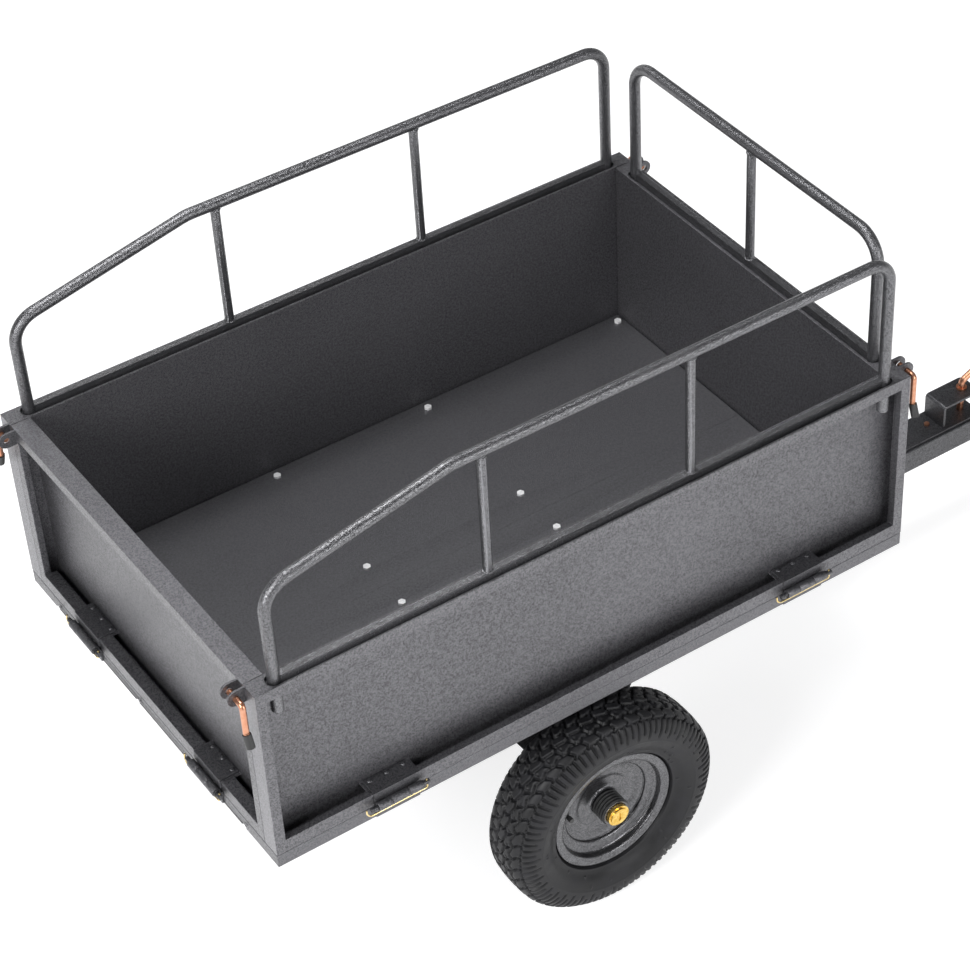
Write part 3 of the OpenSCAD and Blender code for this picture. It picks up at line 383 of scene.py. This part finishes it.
def make_tyre(side):
    """Tyre with a cut block tread, shoulder lugs and sidewall lines, in place of the CAD one."""
    node = side + "_tyre"
    lo_, hi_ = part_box(node)
    c = (Vector(lo_) + Vector(hi_)) / 2
    rim_lo, rim_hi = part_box(side + "_rim")
    outer_r = (hi_[2] - lo_[2]) / 2 - 0.0002
    width = hi_[1] - lo_[1] - 0.0004
    rim_r = (rim_hi[2] - rim_lo[2]) / 2
    half = tyre_profile(outer_r, width, rim_r, RIM_W)
    # fill the crown, then mirror
    n_crown = 10
    z_in = half[-1][0]
    crown = [(z_in * (1 - (i + 1) / n_crown), outer_r) for i in range(n_crown)]
    line = half + crown
    full = line + [(-z, r) for z, r in reversed(line[:-1])]
    z = np.array([a for a, _ in full])
    r = np.array([b for _, b in full])
    arc = np.concatenate([[0], np.cumsum(np.hypot(np.diff(z), np.diff(r)))])
    v = arc - arc[-1] / 2                       # across the tyre, 0 at the crown
    pitches = 46
    per = 18
    n = pitches * per
    th = np.arange(n) * 2 * math.pi / n
    TH, V = np.meshgrid(th, v, indexing="ij")
    Z = np.tile(z, (n, 1))
    R = np.tile(r, (n, 1))
    P = 2 * math.pi * outer_r / pitches         # pitch length at the crown
    U = TH * outer_r / P                        # pitches round
    sgn = np.sign(V)
    A = np.abs(V)
    # centre ribs: zigzag grooves round the tyre, crossed by short ones
    w = 0.0016
    depth = np.zeros_like(V)

    def cut(dist, width_, deep):
        return deep * (1 - smoothstep(width_, width_ + 0.0016, dist))

    for v0, amp, ph in ((0.0085, 0.0022, 0.0), (0.0265, 0.0024, 0.5)):
        d = np.abs(A - (v0 + amp * tri(U + ph + 0.25 * sgn)))
        depth = np.maximum(depth, cut(d, w, 0.0056) * (A < 0.045))
    rows = ((0.0, 0.0085, 0.0), (0.0085, 0.0265, 0.5), (0.0265, 0.047, 0.02))
    for a0, a1, ph in rows:
        inside = (A >= a0 - 0.001) & (A <= a1 + 0.0012)
        skew = 0.10 * tri(A / 0.018 + 0.2)
        f = U + ph + 0.5 * (sgn > 0) * (a0 > 0) + skew
        d = np.abs(f - np.round(f)) * P
        depth = np.maximum(depth, cut(d, w * 1.1, 0.0056) * inside)
    # notches that key the blocks together
    f = U + 0.25
    d = np.hypot((f - np.round(f)) * P, A - 0.0175)
    depth = np.maximum(depth, cut(d, 0.0012, 0.0022))
    # shoulder lugs: ribs that run down on to the sidewall, long and short in turn
    s0 = 0.047
    f = 2 * (U + 0.27)
    k = np.round(f)
    d = np.abs(f - k) * P / 2
    long_ = (np.mod(k, 2) == 0)
    end = np.where(long_, 0.083, 0.074)
    run = smoothstep(s0 - 0.004, s0 + 0.002, A) * (1 - smoothstep(end - 0.004, end, A))
    fall = 0.0058 * (1 - 0.55 * smoothstep(0.055, 0.085, A))
    depth = np.maximum(depth, (1 - smoothstep(0.0016, 0.0034, d)) * run * fall)
    edge = np.abs(A - (s0 + 0.0012 * tri(2 * U)))
    depth = np.maximum(depth, cut(edge, 0.0005, 0.0028) * (A < 0.052))
    # raised line round the sidewall where the ribs end, and one by the bead
    raised = 0.0009 * (1 - smoothstep(0.0006, 0.0016, np.abs(A - 0.0875)))
    raised += 0.0010 * (1 - smoothstep(0.0008, 0.002, np.abs(A - (np.abs(v).max() - 0.020))))
    # normals of the section line
    tz = np.gradient(z)
    tr = np.gradient(r)
    ln = np.hypot(tz, tr)
    nz, nr = -tr / ln, tz / ln
    if nr[len(nr) // 2] < 0:
        nz, nr = -nz, -nr
    # small mould nubs by the rim, at uneven places
    rng = random.Random(11 if side == "left" else 12)
    for _ in range(26):
        t0 = rng.uniform(0, 2 * math.pi)
        a0 = rng.choice((0.098, 0.112, 0.121)) + rng.uniform(-0.002, 0.002)
        dd = np.hypot((np.mod(TH - t0 + math.pi, 2 * math.pi) - math.pi) * 0.15, A - a0)
        raised += 0.0016 * (1 - smoothstep(0.0010, 0.0026, dd))
    off = raised - depth
    Z2 = Z + nz * off
    R2 = np.minimum(R + nr * off, outer_r)
    Z2 = np.clip(Z2, -width / 2, width / 2)
    X = R2 * np.cos(TH) + c.x
    Zw = R2 * np.sin(TH) + c.z
    Y = Z2 + c.y
    m = len(z)
    verts = np.stack([X, Y, Zw], axis=-1).reshape(-1, 3)
    # inner skin, thin, closing the section at the beads
    inner_z = np.array([z[0] - 0.011, width / 2 - 0.012, width / 2 - 0.016, 0.0,
                        -(width / 2 - 0.016), -(width / 2 - 0.012), -(z[0] - 0.011)])
    inner_r = np.array([rim_r + 0.001, rim_r + 0.032, outer_r - 0.026, outer_r - 0.016,
                        outer_r - 0.026, rim_r + 0.032, rim_r + 0.001])
    q = len(inner_z)
    THi = np.repeat(th[:, None], q, axis=1)
    iv = np.stack([inner_r * np.cos(THi) + c.x, np.tile(inner_z, (n, 1)) + c.y,
                   inner_r * np.sin(THi) + c.z], axis=-1).reshape(-1, 3)
    base = len(verts)
    verts = np.concatenate([verts, iv])
    faces = []
    for i in range(n):
        j = (i + 1) % n
        for kk in range(m - 1):
            faces.append((i * m + kk, i * m + kk + 1, j * m + kk + 1, j * m + kk))
        for kk in range(q - 1):
            faces.append((base + i * q + kk, base + j * q + kk, base + j * q + kk + 1, base + i * q + kk + 1))
        faces.append((i * m, j * m, base + j * q, base + i * q))
        faces.append((i * m + m - 1, base + i * q + q - 1, base + j * q + q - 1, j * m + m - 1))
    ob = new_piece(side + "_tyre_tread", verts, faces, tyre_mat, side + "_wheel")
    face_outwards(ob)
    ob.data.polygons.foreach_set("use_smooth", [True] * len(ob.data.polygons))
    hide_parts(node)
    return ob


make_tyre("left")
make_tyre("right")

# ---------------------------------------------------------------- hubs and weld beads
def lathe(name, profile, centre, axis, mat, body, steps=72):
    """Turn an open profile of (along, radius) points round an axis through centre."""
    axis = Vector(axis).normalized()
    side = axis.orthogonal().normalized()
    across = axis.cross(side)
    verts, faces, k = [], [], len(profile)
    for i in range(steps):
        a = 2 * math.pi * i / steps
        out = side * math.cos(a) + across * math.sin(a)
        verts += [Vector(centre) + axis * along + out * r for along, r in profile]
        j = (i + 1) % steps
        faces += [(i * k + q, i * k + (q + 1) % k, j * k + (q + 1) % k, j * k + q) for q in range(k)]
    ob = new_piece(name, verts, faces, mat, body)
    face_outwards(ob)
    return ob


def hub_rings(side, sign):
    """Black dust sleeve with raised rings over the outer end of the hub."""
    b_lo, b_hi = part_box(side + "_bearings")
    centre = [(a + b) / 2 for a, b in zip(b_lo, b_hi)]
    centre[1] = b_hi[1] if sign > 0 else b_lo[1]
    r = HUB_R + 0.0002
    ring, gap, end = 0.0022, 0.0042, -0.0015
    profile = [(end, r - 0.0015), (end - 0.0008, r + 0.0004)]
    for i in range(5):
        z = end - 0.0012 - i * (ring + gap)
        for t in range(7):
            a = math.pi * t / 6
            profile.append((z - ring * 0.5 * (1 - math.cos(a)), r + 0.0004 + 0.0016 * math.sin(a)))
    profile.append((profile[-1][0] - 0.004, r + 0.0004))
    profile.append((profile[-1][0] - 0.0006, r - 0.0006))
    lathe(side + "_hub_sleeve", profile, centre, (0, sign, 0), black, side + "_wheel")


def weld_bead(name, centre, tube_r, body, seed):
    """Uneven fillet weld round the end of an upright strut."""
    rng = random.Random(seed)
    axis = Vector((0, 0, 1))
    side = axis.orthogonal().normalized()
    across = axis.cross(side)
    n, m = 96, 8
    lumps = 14
    sizes = [rng.uniform(0.8, 1.2) for _ in range(lumps)]
    verts, faces = [], []
    for i in range(n):
        a = 2 * math.pi * i / n
        size = sizes[int(a / (2 * math.pi) * lumps) % lumps]
        swell = 0.0016 * (1 + 0.22 * math.cos(lumps * a)) * size ** 0.5
        out = side * math.cos(a) + across * math.sin(a)
        for q in range(m):
            b = 2 * math.pi * q / m
            wide = tube_r + 0.0002 + swell * 0.8 * math.cos(b)
            verts.append(Vector(centre) + out * wide + axis * swell * math.sin(b))
        j = (i + 1) % n
        faces += [(i * m + q, j * m + q, j * m + (q + 1) % m, i * m + (q + 1) % m) for q in range(m)]
    return new_piece(name, verts, faces, paint_rail, body)


def strut_beads(node, body, along):
    """Find each upright strut of a rail and put a bead at its foot and its head."""
    pts = [nodes[node].matrix_world @ v.co for v in nodes[node].data.vertices]
    low = min(p.z for p in pts)
    tall = [p for p in pts if p.z > low + 0.05]
    groups = []
    for p in sorted(tall, key=lambda p: p[along]):
        if groups and p[along] - groups[-1][-1][along] < 0.012:
            groups[-1].append(p)
        else:
            groups.append([p])
    for i, g in enumerate(groups):
        c = [(min(p[k] for p in g) + max(p[k] for p in g)) / 2 for k in range(2)]
        r = (max(p[along] for p in g) - min(p[along] for p in g)) / 2
        head = max(p.z for p in g) - 0.004
        foot = BAR_TOP + 0.001
        weld_bead(f"{body}_bead_head_{i}", (c[0], c[1], head), r, body, 40 + i)
        weld_bead(f"{body}_bead_foot_{i}", (c[0], c[1], foot), r, body, 60 + i)


def make_rim(side, sign):
    """Pressed rim in one turned skin: rolled lips, two barrels, dished disc and hub."""
    t_lo, t_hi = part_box(side + "_tyre")
    centre = [(a + b) / 2 for a, b in zip(t_lo, t_hi)]
    # half of the rolled lip and barrels, in mm from the wheel's middle: (along, radius)
    inside = [(10, 80), (13.4, 80.2), (15.8, 82.6), (17.4, 87.5), (18.6, 92.5), (20.2, 96.4), (23.2, 98.3),
              (28, 98.6), (31.6, 99.2), (33.6, 101.4), (34.8, 104.6), (35.6, 108.4), (36, 111), (35.9, 113),
              (35.2, 114.7), (33.8, 115.5), (32.2, 115.4), (31.2, 114.6), (31, 113.2), (31.6, 111.5),
              (32.6, 109), (32.4, 105.5), (31, 102.6), (28, 101.6), (19.2, 101.4), (17.4, 98), (15, 91),
              (12.6, 85), (10.5, 83.1)]
    front = [(42.6, 20.4), (43, 20.9), (43, 23.2), (42.4, 24), (30, 24), (12, 24), (7, 24.4), (4.6, 26),
             (3.4, 29), (3, 33), (3, 45), (3.5, 49), (5.2, 53), (6.4, 57), (6.8, 62), (7.2, 68), (8, 73),
             (9.4, 77.4)]
    back = [(0, 80), (4.6, 79.4), (5.6, 76), (4.5, 71), (3.9, 66), (3.5, 60), (2.2, 55), (0.6, 50), (0, 46),
            (0, 30), (-3, 25.6), (-7, 24.2), (-20, 24), (-44.4, 24), (-45, 23.4), (-45, 20.9), (-44.6, 20.4)]
    loop = front + inside + [(0, 83)] + [(-z, r) for z, r in reversed(inside)] + back
    bore_r = 20.3
    line = [(z / 1000, max(r, bore_r) / 1000) for z, r in catmull(loop, 3)]
    ob = lathe(side + "_rim_pressed", line, centre, (0, sign, 0),
               paint_rim, side + "_wheel", 144)
    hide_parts(side + "_rim")


hub_rings("left", 1)
hub_rings("right", -1)
make_rim("left", 1)
make_rim("right", -1)
strut_beads("left_rail_struts", "left_rail", 0)
strut_beads("right_rail_struts", "right_rail", 0)
strut_beads("front_rail_struts", "front_rail", 1)

# ---------------------------------------------------------------- floor and light
floor_me = bpy.data.meshes.new("ground")
S = 30.0
floor_me.from_pydata([(-S, -S, 0), (S, -S, 0), (S, S, 0), (-S, S, 0)], [], [(0, 1, 2, 3)])
ground = bpy.data.objects.new("ground", floor_me)
scene.collection.objects.link(ground)
g = Graph("ground_white")
g.set(Base_Color=(0.62, 0.62, 0.625), Roughness=0.9)
g.bsdf.inputs["Emission Color"].default_value = (1, 1, 1, 1)
g.bsdf.inputs["Emission Strength"].default_value = 0.68
floor_me.materials.append(g.mat)

world = bpy.data.worlds.new("studio")
scene.world = world
world.use_nodes = True
wt = world.node_tree
wt.nodes.clear()
wo = wt.nodes.new("ShaderNodeOutputWorld")
bg = wt.nodes.new("ShaderNodeBackground")
bg.inputs["Color"].default_value = (0.92, 0.93, 0.95, 1)
bg.inputs["Strength"].default_value = 0.24
# the backdrop shows paler than the light it gives, so no dark band stands over the floor
pale = wt.nodes.new("ShaderNodeBackground")
pale.inputs["Color"].default_value = (0.93, 0.93, 0.935, 1)
pale.inputs["Strength"].default_value = 1.0
ray = wt.nodes.new("ShaderNodeLightPath")
pick = wt.nodes.new("ShaderNodeMixShader")
wt.links.new(ray.outputs["Is Camera Ray"], pick.inputs[0])
wt.links.new(bg.outputs[0], pick.inputs[1])
wt.links.new(pale.outputs[0], pick.inputs[2])
wt.links.new(pick.outputs[0], wo.inputs[0])


def area(name, place, aim, size, power, size_y=None):
    ld = bpy.data.lights.new(name, "AREA")
    ld.shape = "RECTANGLE"
    ld.size = size
    ld.size_y = size_y or size
    ld.energy = power
    ob = bpy.data.objects.new(name, ld)
    scene.collection.objects.link(ob)
    ob.location = place
    ob.rotation_euler = (Vector(aim) - Vector(place)).to_track_quat("-Z", "Y").to_euler()
    return ob


area("top_box", (-0.5, 0.5, 4.0), (0, 0, 0.4), 1.1, 84)
area("rear_strip", (-0.2, 3.3, 2.9), (0, 0, 0.6), 3.0, 20, 0.4)
area("left_box", (-3.4, -1.4, 2.3), (0, 0, 0.5), 1.5, 116)
area("front_box", (0.6, -3.8, 1.9), (0, 0, 0.5), 1.5, 74)

# ---------------------------------------------------------------- camera
AZ, EL, ROLL = math.radians(-34.91), math.radians(41.93), math.radians(-1.34)
FOCAL = 2858.0
CENTRE = (616.0, 543.0)
back = Vector((math.sin(AZ) * math.cos(EL), -math.cos(AZ) * math.cos(EL), math.sin(EL)))
right = Vector((math.cos(AZ), math.sin(AZ), 0))
up = back.cross(right)
eye = back * 4.819 + right * 0.249 + up * 0.026 + Vector((BED_X, 0, BED_Z))
cam_data = bpy.data.cameras.new("camera")
cam = bpy.data.objects.new("camera", cam_data)
scene.collection.objects.link(cam)
turn = Matrix((right, up, back)).transposed()
cam.matrix_world = Matrix.Translation(eye) @ (turn @ Matrix.Rotation(ROLL, 3, "Z")).to_4x4()
cam_data.sensor_fit = "HORIZONTAL"
cam_data.sensor_width = 36.0
cam_data.lens = FOCAL / 970 * 36.0
cam_data.shift_x = -(CENTRE[0] - 485.0) / 970
cam_data.shift_y = (CENTRE[1] - 485.5) / 970
cam_data.dof.use_dof = False
cam_data.clip_end = 200
scene.camera = cam
scene.view_settings.view_transform = "Standard"
